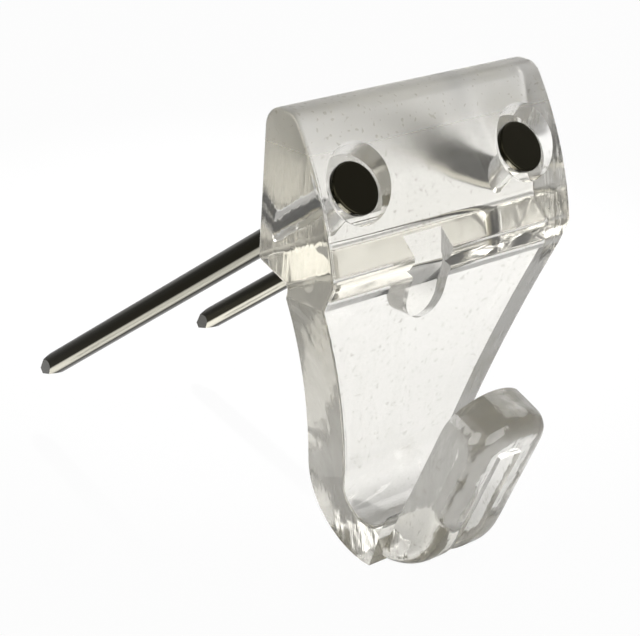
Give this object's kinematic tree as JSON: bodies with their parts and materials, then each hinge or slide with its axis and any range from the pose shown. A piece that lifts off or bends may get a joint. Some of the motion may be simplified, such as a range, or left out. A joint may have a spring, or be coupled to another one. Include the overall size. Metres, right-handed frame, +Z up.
{
  "type": "wall hook",
  "caption": "Clear plastic wall hook: a deep head with slanted, countersunk nails, a tapering plate and an upturned grooved tongue for hanging a picture.",
  "frame": {"origin": "middle of the flat back of the head, on the wall plane", "axes": "+X to the right seen from the front, +Y into the wall, +Z up; the front faces -Y"},
  "size_m": [0.02, 0.0359, 0.0288],
  "materials": {
    "clear_plastic": "clear gloss",
    "nail_steel": "bright drawn wire"
  },
  "bodies": {
    "root": {"hook_body": "clear_plastic", "left_nail": "nail_steel", "right_nail": "nail_steel"}
  },
  "joints": []
}
